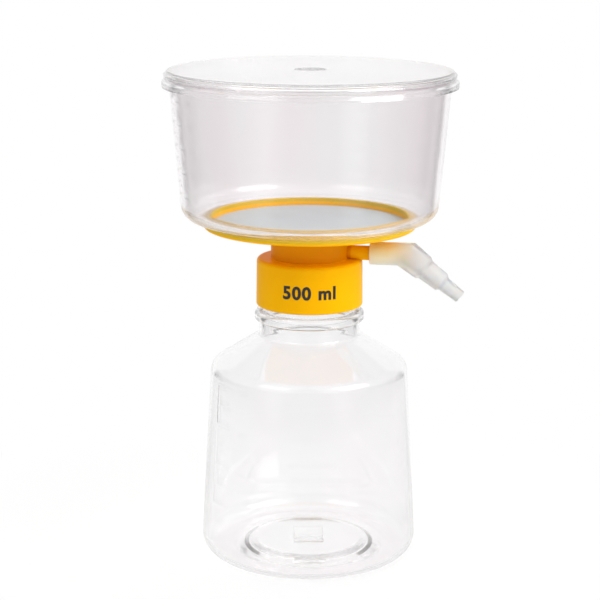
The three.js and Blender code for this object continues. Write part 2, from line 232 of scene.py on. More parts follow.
def turningTree():
    # sweeps the piece's own polyline round +Z, with a rise for each turn and, for a thread, ends
    # that fade into the wall
    tree, get = newTree("sweepRound", {
        "Steps": ("Int", turning["segments"]),
        "Turns": ("Float", 1.0),
        "Rise": ("Float", 0.0),
        "Start": ("Float", 0.0),
        "Root": ("Float", 0.0),
        "Fade": ("Float", 0.0),
        "Material": ("Material", None),
    })
    profile = get["Geometry"]
    size = addNode(tree, "GeometryNodeAttributeDomainSize", {"Geometry": profile})
    count = size.outputs["Point Count"]
    rows = maths(tree, "ADD", get["Steps"], 1.0)
    grid = addNode(tree, "GeometryNodeMeshGrid", {"Vertices X": rows, "Vertices Y": count})
    index = addNode(tree, "GeometryNodeInputIndex").outputs[0]
    row = maths(tree, "FLOOR", maths(tree, "DIVIDE", maths(tree, "ADD", index, 0.5), count))
    column = maths(tree, "SUBTRACT", index, maths(tree, "MULTIPLY", row, count))
    place = addNode(tree, "GeometryNodeInputPosition").outputs[0]
    sample = addNode(tree, "GeometryNodeSampleIndex", {
        "Geometry": profile, "Value": place, "Index": column}, data_type="FLOAT_VECTOR")
    parts = addNode(tree, "ShaderNodeSeparateXYZ", {0: sample.outputs[0]})
    share = maths(tree, "DIVIDE", row, get["Steps"])
    turned = maths(tree, "MULTIPLY", share, get["Turns"])
    angle = maths(tree, "ADD", maths(tree, "MULTIPLY", turned, 2 * math.pi), get["Start"])
    nearEnd = maths(tree, "MINIMUM", share, maths(tree, "SUBTRACT", 1.0, share))
    fade = addNode(tree, "ShaderNodeMapRange", {"Value": nearEnd, "From Max": get["Fade"]},
                   interpolation_type="SMOOTHSTEP")
    hasFade = maths(tree, "GREATER_THAN", get["Fade"], 0.0)
    strength = addNode(tree, "ShaderNodeMix", {0: hasFade, 2: 1.0, 3: fade.outputs[0]}).outputs[0]
    proud = maths(tree, "MAXIMUM", maths(tree, "SUBTRACT", parts.outputs[0], get["Root"]), 0.0)
    cut = maths(tree, "MULTIPLY", proud, maths(tree, "SUBTRACT", 1.0, strength))
    radius = maths(tree, "SUBTRACT", parts.outputs[0], cut)
    height = maths(tree, "ADD", parts.outputs[2], maths(tree, "MULTIPLY", turned, get["Rise"]))
    spot = addNode(tree, "ShaderNodeCombineXYZ", {
        0: maths(tree, "MULTIPLY", radius, maths(tree, "COSINE", angle)),
        1: maths(tree, "MULTIPLY", radius, maths(tree, "SINE", angle)),
        2: height,
    })
    moved = addNode(tree, "GeometryNodeSetPosition", {
        "Geometry": grid.outputs[0], "Position": spot.outputs[0]})
    merged = addNode(tree, "GeometryNodeMergeByDistance", {
        "Geometry": moved.outputs[0], "Distance": turning["weld"] * mm})
    endTree(tree, merged.outputs[0], get["Material"])
    return tree


sweepRound = turningTree()


def turned(name, points, material, **values):
    # points are (radius, height)
    places = [(p[0] * mm, 0.0, p[1] * mm) for p in points]
    piece = newPiece(name, places, [(i, i + 1) for i in range(len(places) - 1)])
    runTree(piece, sweepRound, {"Material": material, **values})
    return closeUp(piece)


thread = {
    "pitch": 4.0, "turns": 1.75, "foot": 112.6, "start": 40.0, "steps": 96, "fade": 0.08,
    "crestPart": 5,
}


def threadRidge(name, root, crest, sunk, width, foot, inside, material):
    # a trapezoid ridge that winds up a wall of radius root; inside turns it towards the axis
    side = -1 if inside else 1
    sole, top = root - side * sunk, root + side * crest
    half, flat = width / 2, width / thread["crestPart"]
    section = [(sole, -half), (sole, half), (root, half), (top, flat), (top, -flat), (root, -half),
               (sole, -half)]
    values = {"Steps": round(thread["steps"] * thread["turns"]), "Turns": thread["turns"],
              "Rise": thread["pitch"] * mm, "Start": math.radians(thread["start"])}
    if not inside:
        values.update({"Root": root * mm, "Fade": thread["fade"]})
    return turned(name, [(r, foot + z) for r, z in section], material, **values)


marks = {
    "width": 2.4, "depth": 0.4, "stand": 0.018, "ovalSides": 40, "stepDegrees": 1.0,
    "digitHeight": 3.4, "digitDepth": 0.7, "curveSteps": 6,
}


def markTree():
    # each polyline becomes a bar with an oval section, Depth across the wall
    tree, get = newTree("scaleBars", {
        "Width": ("Float", marks["width"] * mm), "Depth": ("Float", marks["depth"] * mm),
        "Material": ("Material", None)})
    curve = addNode(tree, "GeometryNodeMeshToCurve", {"Mesh": get["Geometry"]})
    section = addNode(tree, "GeometryNodeCurvePrimitiveCircle", {
        "Resolution": marks["ovalSides"], "Radius": 0.5})
    size = addNode(tree, "ShaderNodeCombineXYZ", {0: get["Depth"], 1: get["Width"], 2: 1.0})
    oval = addNode(tree, "GeometryNodeTransform", {
        "Geometry": section.outputs[0], "Scale": size.outputs[0]})
    bar = addNode(tree, "GeometryNodeCurveToMesh", {
        "Curve": curve.outputs[0], "Profile Curve": oval.outputs[0], "Fill Caps": True})
    endTree(tree, bar.outputs[0], get["Material"])
    return tree


scaleBars = markTree()


def scaleMarks(name, ticks, wallRadius, material):
    # ticks are (height, first azimuth, last azimuth); wallRadius gives the wall at a height
    points, edges = [], []
    for height, first, last in ticks:
        steps = max(2, round(abs(last - first) / marks["stepDegrees"]))
        radius = wallRadius(height) + marks["stand"] - marks["depth"] / 2
        for k in range(steps + 1):
            azimuth = math.radians(first + (last - first) * k / steps)
            if k:
                edges.append((len(points) - 1, len(points)))
            points.append((radius * mm * math.cos(azimuth), radius * mm * math.sin(azimuth),
                           height * mm))
    piece = newPiece(name, points, edges)
    runTree(piece, scaleBars, {
        "Width": marks["width"] * mm, "Depth": marks["depth"] * mm, "Material": material})
    return closeUp(piece)


def wrappedText(name, words, size, azimuth, height, wallRadius, low, high, spacing=1.0,
                weight=0.0):
    # words bent round a wall, from low to high off its surface
    curve = bpy.data.curves.new(name, "FONT")
    curve.body = words
    curve.size = size
    curve.align_x = "CENTER"
    curve.align_y = "CENTER"
    curve.space_character = spacing
    curve.offset = weight
    curve.extrude = (high - low) / 2
    curve.resolution_u = marks["curveSteps"]
    source = addObject(name + "Source", curve)
    mesh = evaluatedMesh(source)
    bpy.data.objects.remove(source)
    shape = bmesh.new()
    shape.from_mesh(mesh)
    bmesh.ops.remove_doubles(shape, verts=shape.verts, dist=0.001)  # still flat, in millimetres
    bmesh.ops.triangulate(shape, faces=shape.faces)
    for vertex in shape.verts:
        x, y, z = vertex.co
        level = height + y
        radius = wallRadius(level) + (low + high) / 2 + z
        turn = math.radians(azimuth) + x / wallRadius(level)
        vertex.co = Vector((radius * math.cos(turn), radius * math.sin(turn), level)) * mm
    shape.to_mesh(mesh)
    shape.free()
    return closeUp(addObject(name, mesh))


def addScale(piece, sizes, heights, volumes, wallRadius, material):
    # graduation lines down a wall, and a number beside every second one
    ticks = []
    for i, height in enumerate(heights):
        ticks.append((height, *sizes["markShort" if i % 2 else "markLong"]))
    combine(piece, scaleMarks("graduations", ticks, wallRadius, material))
    for height, volume in zip(heights[::2], volumes[::2]):
        number = wrappedText("number", str(volume), marks["digitHeight"], sizes["numberAzimuth"],
                             height - sizes["numberDrop"], wallRadius,
                             marks["stand"] - marks["digitDepth"], marks["stand"])
        combine(piece, number)


def newMaterial(name):
    material = bpy.data.materials.new(name)
    material.use_nodes = True
    tree = material.node_tree
    coords = addNode(tree, "ShaderNodeTexCoord").outputs["Object"]
    return material, tree, tree.nodes["Principled BSDF"], coords


def noiseAt(tree, coords, scale, stretch=(1, 1, 1), detail=3.0):
    spread = addNode(tree, "ShaderNodeMapping", {"Vector": coords, "Scale": stretch})
    return addNode(tree, "ShaderNodeTexNoise", {
        "Vector": spread.outputs[0], "Scale": scale, "Detail": detail}).outputs["Fac"]


def ranged(tree, value, low, high, fromLow=0.3, fromHigh=0.7):
    return addNode(tree, "ShaderNodeMapRange", {
        "Value": value, "From Min": fromLow, "From Max": fromHigh,
        "To Min": low, "To Max": high}).outputs[0]


def blended(tree, share, first, second):
    first, second = (c if isinstance(c, bpy.types.NodeSocket) else (*c, 1) for c in (first, second))
    mix = addNode(tree, "ShaderNodeMix", {0: share, 6: first, 7: second}, data_type="RGBA")
    return mix.outputs[2]


def between(tree, value, low, high, soft):
    # 1 from low to high, fading to 0 within soft
    rising = ranged(tree, value, 0, 1, (low - soft) * mm, low * mm)
    falling = ranged(tree, value, 1, 0, high * mm, (high + soft) * mm)
    return maths(tree, "MULTIPLY", rising, falling)


def bumped(tree, shader, height, strength, distance):
    bump = addNode(tree, "ShaderNodeBump", {
        "Height": height, "Strength": strength, "Distance": distance * mm})
    feed(tree, shader, {"Normal": bump.outputs[0]})


def ringShare(tree, coords, height, reach):
    # 1 inside a ring round the axis: height and reach are (low, high, soft edge)
    away = vectorMaths(tree, "LENGTH", vectorMaths(tree, "MULTIPLY", coords, (1, 1, 0)))
    level = heightOf(tree, coords)
    return maths(tree, "MULTIPLY", between(tree, level, *height), between(tree, away, *reach))


clearLook = {
    "ior": 1.57, "patchScale": 22.0, "patchStretch": (1, 1, 0.35), "patchFrom": 0.4, "patchTo": 0.6,
    "grainScale": 900.0, "grainLow": 0.6, "grainHigh": 1.4,  # the last two are shares of roughness
    "waveScale": 55.0, "waveStretch": (1, 1, 0.12), "waveDetail": 1.5, "waveDepth": 0.4,
}


def clearPlastic(name, tint, otherTint, roughness, waves, zones):
    # clear styrene: long flow waves down the wall, and lamps reach through it
    material, tree, shader, coords = newMaterial(name)
    look = clearLook
    patches = noiseAt(tree, coords, look["patchScale"], look["patchStretch"])
    patches = ranged(tree, patches, 0, 1, look["patchFrom"], look["patchTo"])
    colour = blended(tree, patches, tint, otherTint)
    grain = noiseAt(tree, coords, look["grainScale"])
    grain = ranged(tree, grain, roughness * look["grainLow"], roughness * look["grainHigh"])
    for zone in zones:
        share = ringShare(tree, coords, zone["height"], zone["reach"])
        colour = blended(tree, share, colour, zone["tint"])
        grain = maths(tree, "ADD", grain, maths(tree, "MULTIPLY", share, zone.get("haze", 0.0)))
    feed(tree, shader, {
        "Base Color": colour, "Roughness": grain, "Transmission Weight": 1.0, "IOR": look["ior"]})
    flow = noiseAt(tree, coords, look["waveScale"], look["waveStretch"], look["waveDetail"])
    bumped(tree, shader, flow, waves, look["waveDepth"])
    lampRay = addNode(tree, "ShaderNodeLightPath").outputs["Is Shadow Ray"]
    through = addNode(tree, "ShaderNodeBsdfTransparent", {"Color": (*tint, 1)})
    mix = addNode(tree, "ShaderNodeMixShader", {
        0: lampRay, 1: shader.outputs[0], 2: through.outputs[0]})
    feed(tree, tree.nodes["Material Output"], {"Surface": mix.outputs[0]})
    return material


yellowLook = {
    "deep": (0.88, 0.44, 0.0), "light": (0.93, 0.48, 0.0),
    "flowScale": 60.0, "flowStretch": (1, 1, 0.4), "flowDetail": 4.0,
    # welded and column are painted shade, laid on the zones below
    "welded": (0.64, 0.43, 0.03), "column": (0.78, 0.31, 0.0),
    "flangeZone": ((146, 149.1, 0.6), (43.2, 60, 0.3)),
    "recessZone": ((148.1, 152, 0.3), (0, 60, 1)),
    "columnZone": ((131.4, 144, 0.3), (0, 18, 0.6)),
    "glow": 0.12, "glowSpread": (1.0, 0.45, 0.05), "glowDepth": 1.2, "ior": 1.49, "gloss": 0.05,
    "grainScale": 1400.0, "grainStrength": 0.05, "grainDepth": 0.05,
    "roughLow": 0.3, "roughHigh": 0.42,
}


def softPlastic(tree, shader, coords, look, colour):
    # a fine satin grain, and light that soaks in
    grain = noiseAt(tree, coords, look["grainScale"])
    feed(tree, shader, {
        "Base Color": colour, "IOR": look["ior"],
        "Roughness": ranged(tree, grain, look["roughLow"], look["roughHigh"]),
        "Subsurface Weight": look["glow"], "Subsurface Radius": look["glowSpread"],
        "Subsurface Scale": look["glowDepth"] * mm})
    bumped(tree, shader, grain, look["grainStrength"], look["grainDepth"])


def yellowPlastic():
    # opaque golden polypropylene: faint flow mottling, fine satin grain, a little light in it, and
    # painted shade on the flange, the recess and the column
    material, tree, shader, coords = newMaterial("goldenYellow")
    look = yellowLook
    flow = noiseAt(tree, coords, look["flowScale"], look["flowStretch"], look["flowDetail"])
    colour = blended(tree, ranged(tree, flow, 0, 1), look["deep"], look["light"])
    flange = ringShare(tree, coords, *look["flangeZone"])  # painted shade, olive, on the flange and round the recess
    welded = maths(tree, "MAXIMUM", flange, ringShare(tree, coords, *look["recessZone"]))
    colour = blended(tree, welded, colour, look["welded"])
    # painted shade: the column under the deck is a deeper orange
    column = ringShare(tree, coords, *look["columnZone"])
    softPlastic(tree, shader, coords, look, blended(tree, column, colour, look["column"]))
    feed(tree, shader, {"Specular IOR Level": look["gloss"]})
    return material


milkyLook = {
    "deep": (0.95, 0.935, 0.92), "light": (0.98, 0.975, 0.965),
    "cloudScale": 140.0, "cloudDetail": 4.0,
    "azimuth": -20.0, "sleeveFrom": 34.0, "sleeveTo": 46.0, "throughSleeve": 0.8,
    # yellow is a painted glow of the port seen through the sleeve
    "yellow": (1.0, 0.65, 0.25), "yellowLow": 0.25, "yellowFrom": 129, "yellowTo": 138.5,
    "glow": 1.0, "glowSpread": (1.0, 0.8, 0.65), "glowDepth": 3.0, "ior": 1.49,
    "grainScale": 900.0, "grainStrength": 0.08, "grainDepth": 0.06,
    "roughLow": 0.32, "roughHigh": 0.46,
}


def naturalPlastic():
    # unpigmented polypropylene: milky, satin, and what is behind it glows through; the yellow
    # port's glow is painted in
    material, tree, shader, coords = newMaterial("naturalMilky")
    look = milkyLook
    cloud = noiseAt(tree, coords, look["cloudScale"], detail=look["cloudDetail"])
    colour = blended(tree, ranged(tree, cloud, 0, 1), look["deep"], look["light"])
    angle = math.radians(look["azimuth"])
    along = vectorMaths(tree, "DOT_PRODUCT", coords, (math.cos(angle), math.sin(angle), 0))
    sleeve = ranged(tree, along, 1, 0, look["sleeveFrom"] * mm, look["sleeveTo"] * mm)
    upper = ranged(tree, heightOf(tree, coords), look["yellowLow"], 1,
                   look["yellowFrom"] * mm, look["yellowTo"] * mm)
    share = maths(tree, "MULTIPLY", sleeve, upper)  # painted light: the yellow port glowing through the sleeve
    softPlastic(tree, shader, coords, look, blended(tree, share, colour, look["yellow"]))
    through = ranged(tree, sleeve, look["throughSleeve"], 0.0, 0, 1)
    feed(tree, shader, {"Transmission Weight": through})
    return material


matteLook = {"grainDetail": 5.0, "cloudPart": 30, "roughSpread": 0.08, "grainStrength": 0.25}


def mattePlastic(name, low, high, scale, roughness, grainDepth):
    # fine-grained matte stuff: membrane, gasket, plug, ink
    material, tree, shader, coords = newMaterial(name)
    look = matteLook
    grain = noiseAt(tree, coords, scale, detail=look["grainDetail"])
    cloud = noiseAt(tree, coords, scale / look["cloudPart"])
    both = maths(tree, "MULTIPLY", maths(tree, "ADD", grain, cloud), 0.5)
    rough = ranged(tree, grain, roughness - look["roughSpread"], roughness + look["roughSpread"])
    colour = blended(tree, ranged(tree, both, 0, 1), low, high)
    feed(tree, shader, {"Base Color": colour, "Roughness": rough})
    bumped(tree, shader, grain, look["grainStrength"], grainDepth)
    return material


# each zone is a ring round the axis, as (low, high, soft edge) in height and in reach
clearBottle = clearPlastic("clearBottle", (0.972,) * 3, (0.972, 0.962, 0.967), 0.05, 0.02, (
    # painted reflection: a golden line of the yellow collar under the neck bead; and the foot a
    # little darker and pinker
    {"height": (103.8, 104.2, 0.25), "reach": (21.2, 22.6, 0.3), "tint": (1.0, 0.5, 0.12)},
    {"height": (-0.2, 0.3, 0.4), "reach": (31, 46, 2), "tint": (0.95, 0.905, 0.925)},
))
clearBowl = clearPlastic("clearBowl", (0.962, 0.925, 0.938), (0.955, 0.947, 0.95), 0.04, 0.03, (
    # painted light: the rounded bottom corner gets a paler tint, and more haze
    {"height": (140, 153, 7), "reach": (44, 70, 1), "tint": (0.975, 0.955, 0.96), "haze": 0.08},
))
clearLid = clearPlastic("clearLid", (0.972, 0.956, 0.962), (0.968, 0.963, 0.965), 0.07, 0.02, (
    # painted shade: a dark ring at the dimple's edge, and a dark band round the lip
    {"height": (205, 212, 1), "reach": (6.15, 6.75, 0.1), "tint": (0.5, 0.5, 0.5), "haze": 0.1},
    {"height": (209.6, 212, 0.3), "reach": (61.7, 63, 0.2), "tint": (0.62, 0.61, 0.61)},
))
golden = yellowPlastic()
milky = naturalPlastic()
# painted shade: the white membrane is coloured mid grey
filterSheet = mattePlastic("filterSheet", (0.475, 0.52, 0.52), (0.52, 0.57, 0.57), 2600, 0.75, 0.03)
softGasket = mattePlastic("softGasket", (0.78, 0.77, 0.72), (0.84, 0.83, 0.79), 900, 0.6, 0.05)
fibre = mattePlastic("whiteFibre", (0.82, 0.82, 0.8), (0.9, 0.9, 0.88), 1800, 0.9, 0.3)
ink = mattePlastic("blackInk", (0.012, 0.012, 0.012), (0.025, 0.024, 0.022), 1500, 0.45, 0.01)
print("materials made")


bottle = {
    "baseRadius": 47.0, "baseCorner": 7.5, "shoulderRadius": 42.6, "shoulderHeight": 84.5,
    "shoulderFillet": 6.0, "neckRadius": 21.8, "neckFoot": 97.8, "beadRadius": 23.6,
    "beadHeight": 106.2, "beadHalf": 2.2, "finishRadius": 19.9, "bore": 17.9, "wall": 1.7,
    "panelFoot": 28.0, "panelRise": 2.5, "panelDome": 0.8, "panelDraft": 1.4, "panelBorder": 2.0,
    "panelWall": 1.5, "slopeFoot": 33.0, "slopeTop": 22.5, "slopeFillet": 5.5,
    "lugWidth": 13.5, "lugDepth": 3.0, "lugFoot": 0.6, "lugTop": 0.3, "lugRound": 0.25,
    "lugAzimuth": -100.0, "plateFrom": -11, "plateTo": 7, "plateWidth": 13, "plateSunk": 0.1,
    "plateTop": 1, "plateRound": 0.3,
    "boreEnd": 122.0, "boreTaper": 1.5, "taperFoot": 101.5, "cornerDrop": 0.95, "neckFillet": 1.4,
    "gateRadius": 1.6, "gateDepth": 0.5, "threadCrest": 1.0, "threadSunk": 0.5, "threadWidth": 1.5,
    "markTop": 79.4, "markPitch": 8.75, "markCount": 9, "volumeTop": 500, "volumeStep": -50,
    "markLong": (-166.0, -152.0), "markShort": (-162.0, -152.0), "numberAzimuth": -141.5,
    "numberDrop": 0.6,
}


def bottleSide(height):
    b = bottle
    share = (height - b["baseCorner"]) / (b["shoulderHeight"] - b["baseCorner"])
    return b["baseRadius"] + (b["shoulderRadius"] - b["baseRadius"]) * share


def bottleOutline():
    b = bottle
    wall, rim = b["wall"], topOf("receiver_bottle")
    panelRadius = b["panelFoot"] - b["panelDraft"]
    panelTop = b["panelRise"] + b["panelWall"]
    dome = b["panelRise"] + b["panelDome"]
    beadLow, beadTop = b["beadHeight"] - b["beadHalf"], b["beadHeight"] + b["beadHalf"]
    return outline([
        (0, dome - b["gateDepth"]),
        (b["gateRadius"], dome - b["gateDepth"], 0.2),
        (b["gateRadius"] + 0.2, dome, 0.15),
        (panelRadius - b["panelBorder"], b["panelRise"], 4.0),
        (panelRadius, b["panelRise"], 0.9),
        (b["panelFoot"], 0, 0.4),
        (bottleSide(0), 0, b["baseCorner"]),
        (b["shoulderRadius"], b["shoulderHeight"], b["shoulderFillet"]),
        (b["neckRadius"], b["neckFoot"], b["neckFillet"]),
        (b["neckRadius"], beadLow, 0.3),
        (b["beadRadius"], beadLow, b["beadHalf"]),
        (b["beadRadius"], beadTop, b["beadHalf"]),
        (b["finishRadius"], beadTop, 0.3),
        (b["finishRadius"], rim, 0.5),
        (b["bore"], rim, 0.5),
        (b["bore"], b["boreEnd"], 20.0),
        (b["bore"] + b["boreTaper"], b["taperFoot"], 12.0),
        (b["neckRadius"] - wall, b["neckFoot"] - b["cornerDrop"], b["neckFillet"] + wall),
        (b["shoulderRadius"] - wall, b["shoulderHeight"] - b["cornerDrop"],
         b["shoulderFillet"] - wall),
        (bottleSide(wall) - wall, wall, b["baseCorner"] - wall),
        (b["slopeFoot"], wall, b["slopeFillet"]),
        (b["slopeTop"], panelTop, b["slopeFillet"]),
        (0, panelTop + b["panelDome"]),
    ], closed=False)


def radialBlock(name, azimuth, fromRadius, toRadius, width, low, high, rounding):
    # a block that points away from the axis, with its edges rounded
    shape = bmesh.new()
    bmesh.ops.create_cube(shape, size=1)
    size = Vector((toRadius - fromRadius, width, high - low)) * mm
    middle = Vector(((fromRadius + toRadius) / 2, 0, (low + high) / 2)) * mm
    for vertex in shape.verts:
        vertex.co = Vector((vertex.co[k] * size[k] for k in range(3))) + middle
    bmesh.ops.bevel(shape, geom=list(shape.edges), offset=rounding * mm, segments=4, profile=0.5,
                    affect="EDGES")
    shape.transform(Matrix.Rotation(math.radians(azimuth), 4, "Z"))
    mesh = bpy.data.meshes.new(name)
    shape.to_mesh(mesh)
    shape.free()
    return closeUp(addObject(name, mesh))


def makeBottle():
    b = bottle
    piece = turned("bottle_shell", bottleOutline(), clearBottle)
    for side in (0, 180):
        lug = radialBlock("lug", b["lugAzimuth"] + side, b["panelFoot"] - b["lugDepth"],
                          b["panelFoot"], b["lugWidth"], b["lugFoot"],
                          b["panelRise"] + b["lugTop"], b["lugRound"])
        combine(piece, lug)
    plate = radialBlock("plate", b["lugAzimuth"], b["plateFrom"], b["plateTo"], b["plateWidth"],
                        b["panelRise"] - b["plateSunk"], b["panelRise"] + b["plateTop"],
                        b["plateRound"])
    combine(piece, plate)
    ridge = threadRidge("neck_thread", b["finishRadius"], b["threadCrest"], b["threadSunk"],
                        b["threadWidth"], thread["foot"], False, clearBottle)
    combine(piece, ridge)
    heights = [b["markTop"] - i * b["markPitch"] for i in range(b["markCount"])]
    volumes = [b["volumeTop"] + i * b["volumeStep"] for i in range(b["markCount"])]
    addScale(piece, b, heights, volumes, bottleSide, clearBottle)
    smooth(piece, clearBottle)
    settle(piece, "receiver_bottle", "bottle")


makeBottle()


base = {
    "collarTopRadius": 22.7, "collarDraft": 0.25, "collarBore": 21.25, "collarShoulder": 1.6,
    "columnRadius": 16.65, "columnBore": 15.0, "recess": 41.9, "rim": 43.6,
    "lipTop": 149.62, "lipWall": 0.65, "deck": 45.4, "roofHeight": 128.6, "collarTop": 131.1,
    "deckUnderside": 144.8, "flangeTop": 147.0, "deckEdge": 0.6, "deckDish": 0.7, "deckDrop": 1.7,
    "spoutBore": 2.6, "spoutWall": 1.5, "spoutTaper": 0.3, "spoutTip": 121.0,
    "drainDepth": 0.6, "drainReach": 1.2,
    "ribTop": 145.8, "ribWidth": 1.2, "ribCount": 12, "ribStart": 9.0, "shortRibStart": 22.0,
    "ribGap": 1,
    "portAzimuth": -20.0, "portLift": 2.6, "portRadius": 3.1, "portBore": 1.9, "portEnd": 35.0,
    "portSunk": 0.8, "holeStart": 1, "holeStop": 2, "portSides": 64,
    "threadCrest": 0.75, "threadSunk": 0.4, "threadWidth": 1.3,
    "printSize": 7.6, "printHeight": 119.8, "printAzimuth": -101.5, "printThickness": 0.06,
    "printStand": 0.02, "printSpacing": 1.12, "printWeight": 0.28,
}


def baseOutline():
    b = base
    deckTop = b["deckUnderside"] + b["deckEdge"]
    drain = deckTop - b["deckDish"]
    ceiling = b["deckUnderside"] - b["deckDrop"]
    foot, rimTop = footOf("filter_base"), topOf("filter_base")
    spout = b["spoutBore"] + b["spoutWall"]
    return outline([
        (b["spoutBore"], b["spoutTip"]),
        (b["spoutBore"], drain - b["drainDepth"], 0.3),
        (b["spoutBore"] + b["drainReach"], drain, 0.5),
        (b["recess"], deckTop, 0.3),
        (b["recess"], b["lipTop"], 0.3),
        (b["recess"] + b["lipWall"], b["lipTop"], 0.2),
        (b["recess"] + b["lipWall"], rimTop, 0.1),
        (b["rim"], rimTop, 0.5),
        (b["rim"], b["flangeTop"], 0.2),
        (b["deck"], b["flangeTop"], 0.5),
        (b["deck"], b["deckUnderside"], 0.8),
        (b["columnRadius"], ceiling, 1.4),
        (b["columnRadius"], b["collarTop"], 0.3),
        (b["collarTopRadius"], b["collarTop"], b["collarShoulder"]),
        (b["collarTopRadius"] + b["collarDraft"], foot, 0.6),
        (b["collarBore"] + b["collarDraft"], foot, 0.3),
        (b["collarBore"], b["roofHeight"], 0.5),
        (b["columnBore"], b["roofHeight"], 0.5),
        (b["columnBore"], ceiling, 1.2),
        (spout, ceiling, 1.2),
        (spout - b["spoutTaper"], b["spoutTip"], 0.2),
    ])


def portPlace():
    height = base["collarTop"] + base["portLift"]
    turn = Matrix.Rotation(math.radians(base["portAzimuth"]), 4, "Z")
    return Matrix.Translation((0, 0, height * mm)) @ turn


def portTube(name, points):
    # a tube turned about +Z, then laid along the side port
    piece = turned(name, points, golden, Steps=base["portSides"])
    piece.data.transform(portPlace() @ Matrix.Rotation(math.radians(90), 4, "Y"))
    return piece


def ribTree():
    # one rib, turned round the axis as often as Count says
    tree, get = newTree("drainRibs", {
        "Count": ("Int", 1), "From": ("Float", 0.0), "To": ("Float", 0.0), "Width": ("Float", 0.0),
        "Low": ("Float", 0.0), "High": ("Float", 0.0), "Turn": ("Float", 0.0),
        "Material": ("Material", None),
    })
    length = maths(tree, "SUBTRACT", get["To"], get["From"])
    depth = maths(tree, "SUBTRACT", get["High"], get["Low"])
    size = addNode(tree, "ShaderNodeCombineXYZ", {0: length, 1: get["Width"], 2: depth})
    bar = addNode(tree, "GeometryNodeMeshCube", {"Size": size.outputs[0]})
    middle = addNode(tree, "ShaderNodeCombineXYZ", {
        0: maths(tree, "MULTIPLY", maths(tree, "ADD", get["To"], get["From"]), 0.5),
        2: maths(tree, "MULTIPLY", maths(tree, "ADD", get["High"], get["Low"]), 0.5),
    })
    placed = addNode(tree, "GeometryNodeTransform", {
        "Geometry": bar.outputs[0], "Translation": middle.outputs[0]})
    points = addNode(tree, "GeometryNodePoints", {"Count": get["Count"]})
    index = addNode(tree, "GeometryNodeInputIndex").outputs[0]
    step = maths(tree, "DIVIDE", 2 * math.pi, get["Count"])
    angle = maths(tree, "ADD", maths(tree, "MULTIPLY", index, step), get["Turn"])
    turn = addNode(tree, "ShaderNodeCombineXYZ", {2: angle})
    spread = addNode(tree, "GeometryNodeInstanceOnPoints", {
        "Points": points.outputs[0], "Instance": placed.outputs[0], "Rotation": turn.outputs[0]})
    endTree(tree, spread.outputs[0], get["Material"])
    return tree


drainRibs = ribTree()


def ribRing(name, count, start, end, width, low, high, turn, material):
    values = {"Count": count, "From": start * mm, "To": end * mm, "Width": width * mm,
              "Low": low * mm, "High": high * mm, "Turn": math.radians(turn), "Material": material}
    return closeUp(runTree(newPiece(name), drainRibs, values))


def makeBase():
    b = base
    piece = turned("filter_housing", baseOutline(), golden)
    drain = b["deckUnderside"] + b["deckEdge"] - b["deckDish"]
    pitch = 360 / b["ribCount"]
    for start, turn in ((b["ribStart"], 0), (b["shortRibStart"], pitch / 2)):
        ribs = ribRing("ribs", b["ribCount"], start, b["recess"] - b["ribGap"], b["ribWidth"],
                       drain, b["ribTop"], turn, golden)
        combine(piece, ribs)
    foot = b["columnRadius"] - b["portSunk"]
    port = outline([(b["portBore"], foot), (b["portRadius"], foot),
                    (b["portRadius"], b["portEnd"], 0.4), (b["portBore"], b["portEnd"], 0.3)])
    combine(piece, portTube("port", port))
    start, stop = b["columnBore"] - b["holeStart"], b["portEnd"] - b["holeStop"]
    hole = outline([(0, start), (b["portBore"], start), (b["portBore"], stop), (0, stop)],
                   closed=False)
    combine(piece, portTube("hole", hole), "DIFFERENCE")
    ridge = threadRidge("collar_thread", b["collarBore"], b["threadCrest"], b["threadSunk"],
                        b["threadWidth"], thread["foot"] + thread["pitch"] / 2, True, golden)
    combine(piece, ridge)
    smooth(piece, golden)
    settle(piece, "filter_base", "head")


makeBase()


def collarSide(height):
    b = base
    share = (b["collarTop"] - height) / (b["collarTop"] - footOf("filter_base"))
    return b["collarTopRadius"] + b["collarDraft"] * share


def makePrint():
    # a plain capacity figure, printed on the collar
    b = base
    piece = wrappedText("collar_print", "500 ml", b["printSize"], b["printAzimuth"],
                        b["printHeight"], collarSide, b["printStand"],
                        b["printStand"] + b["printThickness"], b["printSpacing"], b["printWeight"])
    smooth(piece, ink)
    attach(piece, "head")
    print(f"{piece.name}: {len(piece.data.polygons)} faces")


makePrint()


bowl = {
    "toe": 45.7, "foot": 54.6, "rim": 59.75, "corner": 13.0, "toeAngle": 16.0,
    "innerCorner": 11.3, "wall": 1.7, "floor": 0.4, "floorRise": 1.8, "slopeFoot": 46.0,
    "recess": 42.6, "seat": 149.2, "weldSunk": 0.03, "weldReach": 0.1,
    "markLong": (-182.0, -166.0), "markShort": (-182.0, -174.0), "numberAzimuth": -159.0,
    "numberDrop": 0.0, "volumeFoot": 100, "volumeStep": 50,
    "markHeights": (160.2, 165.4, 170.5, 175.6, 180.7, 185.7, 190.6, 195.5, 200.3),
}


def bowlCorner():
    slope = math.tan(math.radians(bowl["toeAngle"]))
    return footOf("funnel_bowl") + (bowl["foot"] - bowl["toe"]) * slope


def bowlSide(height):
    corner = bowlCorner()
    share = (height - corner) / (topOf("funnel_bowl") - corner)
    return bowl["foot"] + (bowl["rim"] - bowl["foot"]) * share


